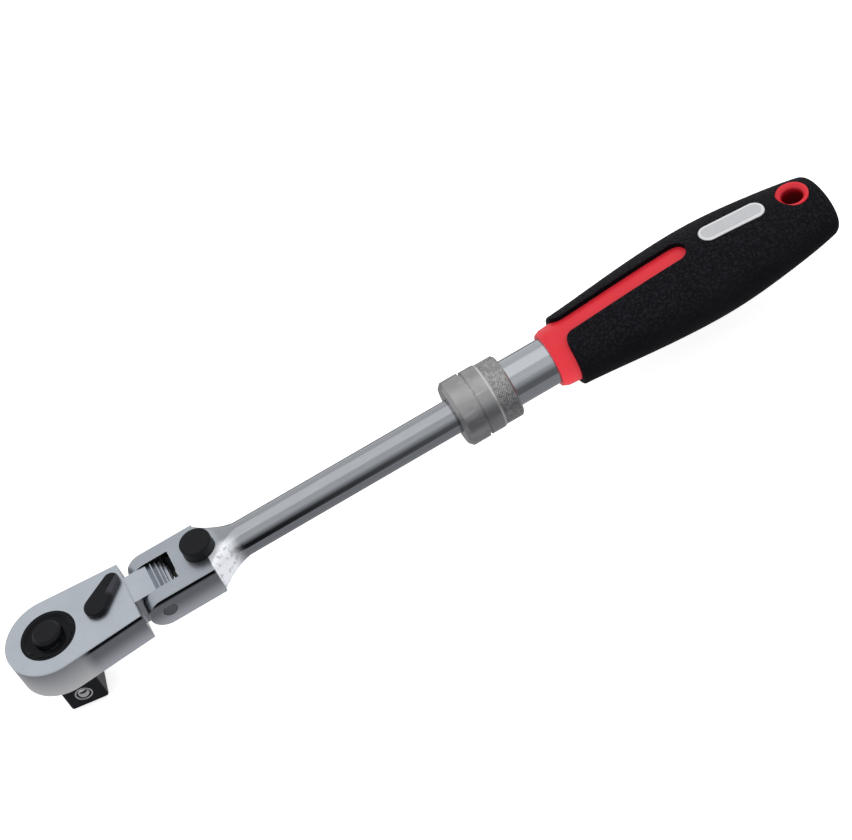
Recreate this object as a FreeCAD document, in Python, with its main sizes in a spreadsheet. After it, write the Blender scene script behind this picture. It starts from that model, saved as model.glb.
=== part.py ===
"""Telescoping, locking flex-head ratchet bar with a 12.7 mm (half inch) square drive.

Frame: the origin is on the drive's axis, at mid height of the head. +X runs from the head to the
handle, +Z points up out of the lever side and the square drive points along -Z. Millimetres.
The bar is stored fully pushed in, with its ball lock and its head lock both released.
"""

import FreeCAD
import Part
import Sketcher
import math
import os
import re

V = FreeCAD.Vector
FULL_TURN = 360.0
OVERSHOOT = 2.0

DIMENSIONS = {
    # head
    "head_round_r": 14.6, "head_thick": 12.1, "head_back": 28.2, "head_taper": 5.0,
    "head_bevel": 0.3, "tongue_width": 11.5, "tongue_r": 5.45, "notch_depth": 0.95,
    "notch_half": 0.75, "notch_count": 11, "cavity_r": 11.1, "cavity_top": 4.0, "hub_hole_r": 9.25,
    "pin_clearance": 0.05, "cover_inset": 0.9, "cover_thick": 1.05, "cover_hole_r": 9.1,
    "cover_back": 26.9, "screw_r": 0.8, "screw_head_r": 1.1, "screw_long": 5.2,
    "screw_ring_r": 12.3, "screw_angle": 110, "rear_screw_x": 24.9, "screw_head_tall": 0.7,
    "screw_slot": 0.35, "seal_mean_r": 9.75, "seal_wire_r": 0.45, "seal_level": 5.2,
    "seal_groove_r": 10.25, "seal_groove_start": 8.6, "seal_groove_half": 0.5,
    # lever and pawl
    "lever_x": 17.6, "lever_angle": 40, "lever_fat_r": 3.9, "lever_fat_back": 0.6,
    "lever_tip_r": 2.7, "lever_tip_reach": 9.3, "lever_under": 6.15, "lever_top": 8.1,
    "lever_edge": 0.8, "stem_r": 2.4, "stem_bottom": -4.9, "stem_gap": 0.05, "detent_ball_r": 1.2,
    "detent_ball_reach": 1.7, "detent_hole_r": 1.25, "detent_depth": 1.9, "pawl_bottom": -4.8,
    "pawl_top": 3.8, "pawl_rock": 6, "pawl_groove_r": 3.0, "pawl_groove_half": 1.4,
    "pawl_start_r": 11.35, "pawl_valley_r": 11.02, "pawl_tooth_r": 10.45, "pawl_shoulder_r": 13.0,
    "pawl_middle": 11.6, "detent_mean_r": 0.8, "detent_wire_r": 0.2, "detent_turns": 4,
    "coil_gap": 0.05,
    # drive
    "gear_tip_r": 10.85, "gear_root_r": 10.35, "gear_teeth": 72, "gear_notch_half": 0.4,
    "gear_top": 3.95, "gear_bottom": -4.95, "hub_r": 9.15, "hub_top": 5.95, "hub_rim": 8.3,
    "dish_r": 7.4, "dish_level": 5.2, "neck_r": 9.0, "neck_bottom": -6.6, "button_well_r": 4.95,
    "button_well_bottom": 0.2, "square": 12.7, "square_turn": -10, "square_corner": 1.0,
    "square_bevel": 0.9, "drive_end": -24.7, "pin_well_r": 2.25, "pin_well_bottom": -23.5,
    "ball_r": 2.4, "ball_hole_r": 2.45, "ball_level": -18.6, "ball_proud": 0.8,
    # quick release
    "button_r": 4.75, "button_top": 8.3, "button_under": 5.2, "button_bevel": 0.85,
    "push_pin_r": 2.2, "push_pin_top": 6.6, "push_pin_bottom": -20.8, "ramp_start": -18.9,
    "ramp_end": -15.5, "ramp_low_r": 1.11, "ramp_back": -13.9, "release_wire_r": 0.3,
    "release_mean_r": 3.3, "release_turns": 4,
    # yoke, neck and bar
    "pin_x": 36.6, "ear_x": 35.7, "pin_r": 2.3, "pin_half": 10.95, "pin_bevel": 0.25,
    "yoke_half_width": 10.9, "yoke_half_height": 6.0, "yoke_back": 54.5, "yoke_bevel": 0.3,
    "slot_half": 5.9, "slot_end": 44.0, "neck_end": 66.0, "neck_corner": 2.2,
    "neck_last_corner": 5.7, "bar_r": 5.8, "bar_end": 258.0, "bar_step": 253.0, "bar_step_r": 4.5,
    "lock_first": 150.0, "lock_pitch": 22.5, "lock_count": 5, "groove_top_half": 1.5,
    "groove_floor_half": 0.9, "groove_floor_r": 4.85, "stop_ring_r": 6.5, "stop_screw_r": 1.5,
    "stop_screw_start": 246.0, "stop_head_r": 3.2, "stop_head_end": 259.6,
    # head lock
    "knob_x": 53.3, "knob_r": 5.2, "knob_top": 10.0, "knob_under": 3.4, "knob_well_r": 5.35,
    "knob_well_bottom": 3.0, "knob_edge": 0.5, "stem_well_r": 3.8, "stem_well_bottom": -4.0,
    "cam_half_x": 1.3, "cam_half_y": 1.2, "cam_slope": 0.6667, "cam_bottom": -2.9, "cam_gap": 0.1,
    "plunger_r": 2.7, "plunger_gap": 0.05, "plunger_nose": 42.2, "plunger_nose_half": 0.05,
    "plunger_nose_long": 1.3, "plunger_nose_slope": 0.6, "plunger_nose_wide": 4.2,
    "plunger_end": 57.3, "plunger_well_end": 61.6, "lock_spring_mean_r": 2.0, "lock_wire_r": 0.3,
    "lock_turns": 5,
    # lock sleeve, collar and tube
    "tube_outer_r": 8.0, "tube_inner_r": 6.6, "tube_front": 156.0, "tube_back": 264.5,
    "sleeve_front": 145.2, "sleeve_back": 162.5, "sleeve_bore_r": 5.85, "sleeve_bevel": 0.5,
    "lock_ball_r": 1.5, "lock_ball_place": 7.35, "lock_ball_hole_r": 1.55, "collar_front": 143.5,
    "collar_back": 163.5, "collar_lip_end": 145.0, "collar_lip_r": 6.0, "collar_bore_r": 8.1,
    "release_groove_start": 148.4, "release_groove_r": 8.97, "ramp_foot": 153.0,
    "ramp_foot_r": 8.07, "spring_room_start": 153.4, "spring_room_r": 9.6, "band_a_r": 11.35,
    "band_a_end": 150.6, "band_gap_r": 10.55, "band_b_start": 151.6, "band_b_r": 11.15,
    "band_b_end": 156.2, "band_c_start": 157.0, "band_c_r": 10.75, "collar_bevel": 0.6,
    "collar_front_bevel": 1.2, "end_ring_front": 162.0, "clip_front": 158.0, "clip_back": 159.0,
    "clip_r": 9.5, "collar_spring_mean_r": 8.9, "collar_wire_r": 0.4, "collar_turns": 3,
    # handle
    "core_front": 178.8, "core_front_r": 9.2, "core_ring_r": 10.0, "core_ring_place": 180.6,
    "grip_front": 184.8, "grip_back": 281.9, "core_back": 278.6, "core_inset": 1.8,
    "grip_end_round": 3.4, "grip_front_round": 0.8, "stripe_half": 3.95, "stripe_flare": 3.5,
    "window_floor": 6.5, "stripe_end": 232.9, "plate_middle": 250.15, "plate_half_long": 11.75,
    "plate_half_wide": 3.5, "plate_thick": 1.2, "plate_top": 13.75, "plate_tilt": 4.6,
    "plate_gap": 0.2, "plate_bevel": 0.3, "eyelet_x": 272.2, "eyelet_r": 5.4, "eyelet_half": 10.6,
    "eyelet_bore_r": 3.6, "eyelet_bevel": 1.1, "plug_front": 260.6, "bumper_front": 259.8,
    "tube_pin_x": 262.6, "tube_pin_r": 1.25, "tube_pin_half": 9.0,
}

# place along the bar, half width and half height of the grip's oval
GRIP_STATIONS = (
    (184.8, 12.75, 11.65),
    (196.0, 13.75, 12.45),
    (208.0, 15.05, 13.4),
    (221.0, 16.2, 14.25),
    (235.0, 16.75, 14.7),
    (250.0, 16.15, 13.95),
    (262.0, 14.95, 12.5),
    (272.2, 13.5, 11.1),
    (281.9, 11.45, 9.1),
)

# (x, y) corners: half of the pawl's pocket from the gear's side to the back, and the pawl's back
PAWL_ROOM = ((4.6, 9.6), (5.6, 12.2), (8.6, 12.3), (12.5, 10.2), (17.0, 7.2), (20.8, 5.4), (22.8, 2.4))
PAWL_BACK = ((11.2, -9.0), (15.5, -5.6), (19.5, -4.0), (21.8, -1.5))
PAWL_TOOTH_STEPS = range(6, 10)
PAWL_START_ANGLE = -24.0
PAWL_SHOULDER_ANGLE = -48.0

# the neck's cross-sections: share of its length, and how fast its width and its corners change
NECK_SHARES = (0.0, 0.15, 0.35, 0.6, 0.85, 1.0)
NECK_WIDTH_POWER = 1.7
NECK_CORNER_POWER = 0.8

for number, (place, half_wide, half_tall) in enumerate(GRIP_STATIONS):
    DIMENSIONS[f"oval{number}_place"] = place
    DIMENSIONS[f"oval{number}_wide"] = half_wide
    DIMENSIONS[f"oval{number}_tall"] = half_tall

DOC = FreeCAD.newDocument("ratchet_bar")
SHEET = DOC.addObject("Spreadsheet::Sheet", "dims")
PROBE = DOC.addObject("App::FeaturePython", "Probe")
PROBE.addProperty("App::PropertyFloat", "Number")
NODES = []


def fill_sheet():
    for row, (name, number) in enumerate(DIMENSIONS.items(), start=1):
        SHEET.set(f"A{row}", name)
        SHEET.set(f"B{row}", str(number))
        SHEET.setAlias(f"B{row}", name)
    DOC.recompute()


def cell(text):
    """The expression with each dimension's name pointed at the sheet."""
    return re.sub(
        r"[a-z_]\w*",
        lambda word: "dims." + word.group() if word.group() in DIMENSIONS else word.group(),
        str(text),
    )


def value(text):
    """The number that an expression gives, worked out by a property bound to it."""
    PROBE.setExpression("Number", cell(text))
    PROBE.recompute()
    return PROBE.Number


def node(thing, name):
    thing.Label = name
    NODES.append(thing)
    return thing


# ---- sketches ----


def new_body():
    return DOC.addObject("PartDesign::Body", "Body")


def sketch(body, role, across="0", up="0", out="0", turn="0"):
    """A sketch on an origin plane, moved in the plane (across, up), along its normal (out) and turned."""
    made = body.newObject("Sketcher::SketchObject", "Sketch")
    plane = next(f for f in body.Origin.OriginFeatures if f.Role == role)
    made.AttachmentSupport = [(plane, "")]
    made.MapMode = "FlatFace"
    moves = {"Base.x": across, "Base.y": up, "Base.z": out, "Rotation.Angle": turn}
    for path, text in moves.items():
        if text != "0":
            made.setExpression("AttachmentOffset." + path, cell(text))
    return made


def aimed_sketch(body, base, direction):
    """A sketch whose normal points the given way from the given point."""
    made = sketch(body, "XY_Plane")
    made.AttachmentOffset = FreeCAD.Placement(base, FreeCAD.Rotation(V(0, 0, 1), direction))
    return made


def pin_point(made, geometry, point, across, up):
    for kind, text in (("DistanceX", across), ("DistanceY", up)):
        rule = Sketcher.Constraint(kind, -1, 1, geometry, point, value(text))
        made.setExpression(f"Constraints[{made.addConstraint(rule)}]", cell(text))


def circle(made, radius, across="0", up="0"):
    centre = V(value(across), value(up), 0)
    ring = made.addGeometry(Part.Circle(centre, V(0, 0, 1), value(radius)))
    rule = made.addConstraint(Sketcher.Constraint("Radius", ring, value(radius)))
    made.setExpression(f"Constraints[{rule}]", cell(radius))
    pin_point(made, ring, 3, across, up)
    return made


def polygon(made, points):
    """A closed outline whose corners are pairs of expressions."""
    places = [V(value(a), value(b), 0) for a, b in points]
    lines = free_polygon(made, places)
    for line, (across, up) in zip(lines, points):
        pin_point(made, line, 1, across, up)
    return made


def free_polygon(made, places):
    """A closed outline through worked-out points."""
    following = places[1:] + places[:1]
    lines = [made.addGeometry(Part.LineSegment(a, b)) for a, b in zip(places, following)]
    for line, after in zip(lines, lines[1:] + lines[:1]):
        made.addConstraint(Sketcher.Constraint("Coincident", line, 2, after, 1))
    return lines


def rectangle(made, left, right, low, high):
    return polygon(made, [(left, low), (right, low), (right, high), (left, high)])


# ---- features ----


def settle(body, before, adds):
    """Recompute, and stop if the newest feature did not change the solid the way it should."""
    DOC.recompute()
    change = body.Shape.Volume - before
    if (change <= 0) if adds else (change >= 0):
        raise ValueError(f"{body.Tip.Name} changed nothing")
    return body.Tip


def volume(body):
    return 0.0 if body.Shape.isNull() else body.Shape.Volume


def extrude(body, made, length, cut=False, both=False, flip=False):
    """Pad or pocket a sketch. A pad goes along the sketch's normal, a pocket against it."""
    before = volume(body)
    kind = "Pocket" if cut else "Pad"
    feature = body.newObject("PartDesign::" + kind, kind)
    feature.Profile = made
    feature.SideType = "Symmetric" if both else "One side"
    feature.Reversed = flip
    feature.setExpression("Length", cell(length))
    return settle(body, before, not cut)


def turn(body, made, axis, cut=False):
    """Revolve a sketch about its own horizontal (H) or vertical (V) axis."""
    before = volume(body)
    kind = "Groove" if cut else "Revolution"
    feature = body.newObject("PartDesign::" + kind, kind)
    feature.Profile = made
    feature.ReferenceAxis = (made, [axis + "_Axis"])
    feature.Angle = FULL_TURN
    return settle(body, before, not cut)


def around(body, feature, made, count, sweep, flip=False):
    """Repeat a cut about its sketch's normal, evenly over the sweep in degrees."""
    before = volume(body)
    pattern = body.newObject("PartDesign::PolarPattern", "PolarPattern")
    pattern.Originals = [feature]
    pattern.Axis = (made, ["N_Axis"])
    pattern.Angle = sweep
    pattern.Reversed = flip
    pattern.setExpression("Occurrences", cell(count))
    body.Tip = pattern
    return settle(body, before, False)


def dress(body, kind, size, picks):
    """Chamfer or fillet the edges that picks() accepts."""
    base = body.Tip
    names = [f"Edge{i}" for i, edge in enumerate(base.Shape.Edges, start=1) if picks(edge)]
    before = volume(body)
    feature = body.newObject("PartDesign::" + kind, kind)
    feature.Base = (base, names)
    feature.setExpression("Size" if kind == "Chamfer" else "Radius", cell(size))
    DOC.recompute()
    if not names or abs(body.Shape.Volume - before) < 1e-9:
        raise ValueError(f"{kind} {size} changed nothing")
    return feature


def near(number, goal):
    return abs(number - goal) < 1e-4


def flat_at(edge, axis, place):
    """True for an edge that lies in the plane where the axis coordinate is the given place."""
    box = edge.BoundBox
    return near(getattr(box, axis + "Min"), place) and near(getattr(box, axis + "Max"), place)


def turned(name, points, axis="H", **place):
    """A solid of revolution from (along, radius) corners about X, or (radius, height) about Z."""
    body = new_body()
    turn(body, polygon(sketch(body, "XZ_Plane", **place), points), axis)
    return node(body, name)


def sphere(name, radius, centre):
    ball = DOC.addObject("Part::Sphere", "Sphere")
    ball.setExpression("Radius", cell(radius))
    ball.Placement.Base = centre
    return node(ball, name)


def coil(name, mean_r, wire_r, turns, start, finish):
    """A round wire wound into an open coil that fits between two points, just clear of both."""
    wire = value(wire_r)
    axis = finish - start
    end_room = wire + value("coil_gap")
    tall = axis.Length - 2 * end_room
    helix = Part.makeLongHelix(tall / value(turns), tall, value(mean_r))
    slope = tall / value(turns) / (2 * math.pi * value(mean_r))
    section = Part.Wire(Part.makeCircle(wire, V(value(mean_r), 0, 0), V(0, 1, slope)))
    shape = Part.Wire(helix.Edges).makePipeShell([section], True, True)
    made = DOC.addObject("Part::Feature", "Coil")
    made.Shape = shape
    foot = start + axis * (end_room / axis.Length)
    made.Placement = FreeCAD.Placement(foot, FreeCAD.Rotation(V(0, 0, 1), axis))
    return node(made, name)


# ---- head ----


def head_outline(body, inset, back, out="0"):
    """The tapered part of the head's outline, tangent to its round end, moved in by the inset."""
    radius = f"(head_round_r - {inset})"
    tangent = f"{radius} * sin(head_taper * 1 deg)"
    half = f"{radius} * cos(head_taper * 1 deg)"
    half_back = f"({half} - ({back} - {tangent}) * tan(head_taper * 1 deg))"
    corners = [(tangent, half), (tangent, f"-{half}"), (back, f"-{half_back}"), (back, half_back)]
    return polygon(sketch(body, "XY_Plane", out=out), corners)


def head_blank(body):
    extrude(body, circle(sketch(body, "XY_Plane"), "head_round_r"), "head_thick", both=True)
    extrude(body, head_outline(body, "0", "head_back"), "head_thick", both=True)
    face = value("head_thick / 2")
    dress(body, "Chamfer", "head_bevel", lambda e: flat_at(e, "Z", face) or flat_at(e, "Z", -face))


def head_tongue(body):
    """The flat tongue with its round end and the locking notches round it."""
    neck = sketch(body, "XZ_Plane")
    rectangle(neck, f"head_back - {OVERSHOOT}", "pin_x", "-tongue_r", "tongue_r")
    extrude(body, neck, "tongue_width", both=True)
    end = sketch(body, "XZ_Plane", across="pin_x")
    extrude(body, circle(end, "tongue_r"), "tongue_width", both=True)
    vee = sketch(body, "XZ_Plane", across="pin_x")
    mouth = "tongue_r + notch_depth"
    polygon(vee, [("0", "tongue_r - notch_depth"), ("2 * notch_half", mouth), ("-2 * notch_half", mouth)])
    notch = extrude(body, vee, f"tongue_width + {OVERSHOOT}", cut=True, both=True)
    around(body, notch, vee, "notch_count", FULL_TURN / 2, flip=True)
    bore = circle(sketch(body, "XZ_Plane", across="pin_x"), "pin_r + pin_clearance")
    extrude(body, bore, f"tongue_width + {OVERSHOOT}", cut=True, both=True)


def head_cavities(body):
    """Everything that the gear, the pawl, the lever and the seal sit in, open at the bottom."""
    floor = "-head_thick / 2"
    upward = "cavity_top + head_thick / 2"
    extrude(body, circle(sketch(body, "XY_Plane", out=floor), "cavity_r"), upward, cut=True, flip=True)
    room = sketch(body, "XY_Plane", out=floor)
    far_side = [V(x, y, 0) for x, y in PAWL_ROOM]
    near_side = [V(x, -y, 0) for x, y in reversed(PAWL_ROOM)]
    free_polygon(room, far_side + near_side)
    extrude(body, room, upward, cut=True, flip=True)
    hub = circle(sketch(body, "XY_Plane", out=floor), "hub_hole_r")
    extrude(body, hub, "head_thick", cut=True, flip=True)
    stem = circle(sketch(body, "XY_Plane", out=floor, across="lever_x"), "stem_r + stem_gap")
    extrude(body, stem, "head_thick", cut=True, flip=True)
    groove = sketch(body, "XZ_Plane")
    low, high = "seal_level - seal_groove_half", "seal_level + seal_groove_half"
    turn(body, rectangle(groove, "seal_groove_start", "seal_groove_r", low, high), "V", cut=True)


def screw_places():
    angle = math.radians(value("screw_angle"))
    ring = value("screw_ring_r")
    side = (ring * math.cos(angle), ring * math.sin(angle))
    return [(side[0], side[1]), (side[0], -side[1]), (value("rear_screw_x"), 0.0)]


def screw_holes(body, radius, length):
    """Three plain holes, upward from the bottom face."""
    for x, y in screw_places():
        hole = sketch(body, "XY_Plane", out="-head_thick / 2", across=str(x), up=str(y))
        extrude(body, circle(hole, radius), length, cut=True, flip=True)


def make_head_housing():
    body = new_body()
    head_blank(body)
    head_tongue(body)
    floor = "-head_thick / 2"
    recess = head_outline(body, "cover_inset", "cover_back", out=floor)
    extrude(body, recess, "cover_thick", cut=True, flip=True)
    disc = circle(sketch(body, "XY_Plane", out=floor), "head_round_r - cover_inset")
    extrude(body, disc, "cover_thick", cut=True, flip=True)
    head_cavities(body)
    screw_holes(body, "screw_r", "screw_long")
    node(body, "head_housing")


def make_cover_plate():
    body = new_body()
    floor = "-head_thick / 2"
    disc = circle(sketch(body, "XY_Plane", out=floor), "head_round_r - cover_inset")
    extrude(body, disc, "cover_thick")
    extrude(body, head_outline(body, "cover_inset", "cover_back", out=floor), "cover_thick")
    hole = circle(sketch(body, "XY_Plane", out=floor), "cover_hole_r")
    extrude(body, hole, "cover_thick", cut=True, flip=True)
    screw_holes(body, "screw_r", "cover_thick")
    screw_holes(body, "screw_head_r", "screw_head_tall")
    node(body, "cover_plate")


def make_cover_screws():
    """Three slotted screws, one solid each in one group."""
    screws = []
    for x, y in screw_places():
        base = value("-head_thick / 2")
        head = Part.makeCylinder(value("screw_head_r"), value("screw_head_tall"), V(x, y, base))
        shank = Part.makeCylinder(value("screw_r"), value("screw_long"), V(x, y, base))
        slot_size = value("screw_slot")
        width = 2 * value("screw_head_r")
        slot = Part.makeBox(width, slot_size, slot_size, V(x - width / 2, y - slot_size / 2, base))
        screws.append(head.fuse(shank).removeSplitter().cut(slot))
    group = DOC.addObject("Part::Feature", "Screws")
    group.Shape = Part.makeCompound(screws)
    node(group, "cover_screws")


def make_hub_seal():
    ring = DOC.addObject("Part::Torus", "Torus")
    ring.setExpression("Radius1", cell("seal_mean_r"))
    ring.setExpression("Radius2", cell("seal_wire_r"))
    ring.Placement.Base = V(0, 0, value("seal_level"))
    node(ring, "hub_seal")


# ---- lever and pawl ----


def lever_direction():
    angle = math.radians(value("lever_angle"))
    return V(math.cos(angle), math.sin(angle), 0)


def make_reversing_lever():
    """A teardrop thumb lever on a round stem that holds a spring and a detent ball."""
    body = new_body()
    plate = "lever_top - lever_under"
    place = {"across": "lever_x", "out": "lever_under", "turn": "lever_angle"}
    extrude(body, circle(sketch(body, "XY_Plane", **place), "lever_fat_r", "-lever_fat_back"), plate)
    extrude(body, circle(sketch(body, "XY_Plane", **place), "lever_tip_r", "lever_tip_reach"), plate)
    lean = "((lever_fat_r - lever_tip_r) / (lever_tip_reach + lever_fat_back))"
    rise = f"sqrt(1 - {lean} * {lean})"
    fat = (f"lever_fat_r * {lean} - lever_fat_back", f"lever_fat_r * {rise}")
    tip = (f"lever_tip_reach + lever_tip_r * {lean}", f"lever_tip_r * {rise}")
    sides = [fat, tip, (tip[0], f"-({tip[1]})"), (fat[0], f"-({fat[1]})")]
    extrude(body, polygon(sketch(body, "XY_Plane", **place), sides), plate)
    top = value("lever_top")
    dress(body, "Fillet", "lever_edge", lambda e: flat_at(e, "Z", top))
    stem = circle(sketch(body, "XY_Plane", across="lever_x", out="stem_bottom"), "stem_r")
    extrude(body, stem, "lever_under - stem_bottom")
    along = lever_direction()
    inner = V(value("lever_x"), 0, 0) + along * value("detent_depth")
    hole = circle(aimed_sketch(body, inner, -along), "detent_hole_r")
    extrude(body, hole, "stem_r + detent_depth", cut=True, flip=True)
    return node(body, "reversing_lever")


def make_lever_detent():
    pivot = V(value("lever_x"), 0, 0)
    along = lever_direction()
    reach = value("detent_ball_reach")
    sphere("lever_detent_ball", "detent_ball_r", pivot - along * reach)
    start = pivot - along * (reach - value("detent_ball_r"))
    finish = pivot + along * value("detent_depth")
    coil("lever_detent_spring", "detent_mean_r", "detent_wire_r", "detent_turns", start, finish)


def polar(radius, degrees):
    angle = math.radians(degrees)
    return V(radius * math.cos(angle), radius * math.sin(angle), 0)


def pawl_wing():
    """The wing that is in mesh, on the -Y side, from the middle out to its tip and back."""
    pitch = FULL_TURN / value("gear_teeth")
    valley, tooth = value("pawl_valley_r"), value("pawl_tooth_r")
    teeth = [polar(value("pawl_start_r"), PAWL_START_ANGLE)]
    for step in PAWL_TOOTH_STEPS:
        teeth.append(polar(valley, -(step - 0.5) * pitch))
        teeth.append(polar(tooth, -step * pitch))
    teeth.append(polar(valley, -(PAWL_TOOTH_STEPS[-1] + 0.5) * pitch))
    shoulder = polar(value("pawl_shoulder_r"), PAWL_SHOULDER_ANGLE)
    return teeth + [shoulder] + [V(x, y, 0) for x, y in PAWL_BACK]


def make_reversing_pawl():
    """A rocking pawl with two toothed wings. It turns on the lever's stem."""
    pivot = V(value("lever_x"), 0, 0)
    away = FreeCAD.Rotation(V(0, 0, 1), -value("pawl_rock"))
    meshed = pawl_wing()
    mirrored = [away.multVec(V(p.x, -p.y, 0) - pivot) + pivot for p in meshed]
    body = new_body()
    outline = sketch(body, "XY_Plane", out="pawl_bottom")
    middle = V(value("pawl_middle"), 0, 0)
    free_polygon(outline, [middle] + meshed + mirrored[::-1])
    extrude(body, outline, "pawl_top - pawl_bottom")
    bore = circle(sketch(body, "XY_Plane", across="lever_x", out="pawl_bottom"), "stem_r + stem_gap")
    extrude(body, bore, "pawl_top - pawl_bottom", cut=True, flip=True)
    track = sketch(body, "XZ_Plane", across="lever_x")
    rectangle(track, "0", "pawl_groove_r", "-pawl_groove_half", "pawl_groove_half")
    turn(body, track, "V", cut=True)
    node(body, "reversing_pawl")


# ---- drive ----


def gear_profile():
    """The drive's turned profile, from the neck's underside up and back down the button's well."""
    return [
        ("0", "neck_bottom"), ("neck_r", "neck_bottom"), ("neck_r", "gear_bottom"),
        ("gear_tip_r", "gear_bottom"), ("gear_tip_r", "gear_top"), ("hub_r", "gear_top"),
        ("hub_r", "hub_top"), ("hub_rim", "hub_top"), ("dish_r", "dish_level"),
        ("button_well_r", "dish_level"), ("button_well_r", "button_well_bottom"),
        ("0", "button_well_bottom"),
    ]


def drive_square(body):
    square = sketch(body, "XY_Plane", out="neck_bottom", turn="square_turn")
    rectangle(square, "-square / 2", "square / 2", "-square / 2", "square / 2")
    extrude(body, square, "neck_bottom - drive_end", flip=True)
    end = value("drive_end")
    upright = value("neck_bottom - drive_end")
    dress(body, "Fillet", "square_corner", lambda e: near(e.BoundBox.ZLength, upright))
    dress(body, "Chamfer", "square_bevel", lambda e: flat_at(e, "Z", end))


def ball_direction():
    """The way out of the square's near face."""
    angle = math.radians(value("square_turn"))
    return V(math.sin(angle), -math.cos(angle), 0)


def make_drive_gear():
    body = new_body()
    turn(body, polygon(sketch(body, "XZ_Plane"), gear_profile()), "V")
    vee = sketch(body, "XY_Plane", out="gear_top")
    mouth = "gear_tip_r + gear_tip_r - gear_root_r"
    half = "2 * gear_notch_half"
    polygon(vee, [("gear_root_r", "0"), (mouth, f"-({half})"), (mouth, half)])
    tooth_gap = extrude(body, vee, "gear_top - gear_bottom", cut=True)
    around(body, tooth_gap, vee, "gear_teeth", FULL_TURN)
    drive_square(body)
    well = circle(sketch(body, "XY_Plane", out="button_well_bottom"), "pin_well_r")
    extrude(body, well, "button_well_bottom - pin_well_bottom", cut=True)
    hole = circle(aimed_sketch(body, V(0, 0, value("ball_level")), ball_direction()), "ball_hole_r")
    extrude(body, hole, "square", cut=True, flip=True)
    node(body, "drive_gear")


def make_release():
    """The quick release: its push button, the pin that wedges the ball out, the spring and the ball."""
    edge = "button_r - button_bevel"
    turned(
        "release_button",
        [
            ("push_pin_r", "button_under"), ("button_r", "button_under"),
            ("button_r", "button_top - button_bevel"), (edge, "button_top"), ("0", "button_top"),
            ("0", "push_pin_top"), ("push_pin_r", "push_pin_top"),
        ],
        axis="V",
    )
    turned(
        "release_pin",
        [
            ("0", "push_pin_bottom"), ("push_pin_r", "push_pin_bottom"), ("push_pin_r", "ramp_start"),
            ("ramp_low_r", "ramp_end"), ("push_pin_r", "ramp_back"), ("push_pin_r", "push_pin_top"),
            ("0", "push_pin_top"),
        ],
        axis="V",
    )
    low, high = V(0, 0, value("button_well_bottom")), V(0, 0, value("button_under"))
    coil("release_spring", "release_mean_r", "release_wire_r", "release_turns", low, high)
    centre = ball_direction() * value("square / 2 + ball_proud - ball_r")
    sphere("socket_ball", "ball_r", centre + V(0, 0, value("ball_level")))


# ---- yoke and bar ----


def neck_section(body, share):
    """One rounded rectangle of the neck, from the yoke's box (share 0) to the round bar (share 1)."""
    radius = value("bar_r")
    wide = radius + (value("yoke_half_width") - radius) * (1 - share) ** NECK_WIDTH_POWER
    tall = value("yoke_half_height") + (radius - value("yoke_half_height")) * share
    small, large = value("neck_corner"), value("neck_last_corner")
    corner = small + (large - small) * share ** NECK_CORNER_POWER
    made = sketch(body, "YZ_Plane", out=f"yoke_back + (neck_end - yoke_back) * {share}")
    straight_y, straight_z = wide - corner, tall - corner
    centres = [(straight_y, straight_z), (-straight_y, straight_z), (-straight_y, -straight_z),
               (straight_y, -straight_z)]
    arcs = []
    for quarter, (y, z) in enumerate(centres):
        start = quarter * math.pi / 2
        ring = Part.Circle(V(y, z, 0), V(0, 0, 1), corner)
        arcs.append(Part.ArcOfCircle(ring, start, start + math.pi / 2))
    for arc, after in zip(arcs, arcs[1:] + arcs[:1]):
        made.addGeometry(arc)
        made.addGeometry(Part.LineSegment(arc.EndPoint, after.StartPoint))
    return made


def yoke_and_neck(body):
    end = circle(sketch(body, "XZ_Plane", across="ear_x"), "yoke_half_height")
    extrude(body, end, "2 * yoke_half_width", both=True)
    box = sketch(body, "XZ_Plane")
    rectangle(box, "ear_x", "yoke_back", "-yoke_half_height", "yoke_half_height")
    extrude(body, box, "2 * yoke_half_width", both=True)
    side = value("yoke_half_width")
    back = value("yoke_back")

    def outer(edge):
        on_side = flat_at(edge, "Y", side) or flat_at(edge, "Y", -side)
        return on_side and not flat_at(edge, "X", back) and edge.BoundBox.XLength > 1

    dress(body, "Chamfer", "yoke_bevel", outer)
    sections = [neck_section(body, share) for share in NECK_SHARES]
    before = volume(body)
    loft = body.newObject("PartDesign::AdditiveLoft", "AdditiveLoft")
    loft.Profile = sections[0]
    loft.Sections = sections[1:]
    settle(body, before, True)


def bar_profile():
    """The round bar's profile from the neck to its stepped end, with the ball lock's grooves."""
    corners = [(f"neck_end - {OVERSHOOT}", "0"), (f"neck_end - {OVERSHOOT}", "bar_r")]
    for step in range(int(value("lock_count"))):
        middle = f"lock_first + {step} * lock_pitch"
        corners += [
            (f"{middle} - groove_top_half", "bar_r"), (f"{middle} - groove_floor_half", "groove_floor_r"),
            (f"{middle} + groove_floor_half", "groove_floor_r"), (f"{middle} + groove_top_half", "bar_r"),
        ]
    return corners + [
        ("bar_step", "bar_r"), ("bar_step", "bar_step_r"), ("bar_end", "bar_step_r"), ("bar_end", "0"),
    ]


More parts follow.
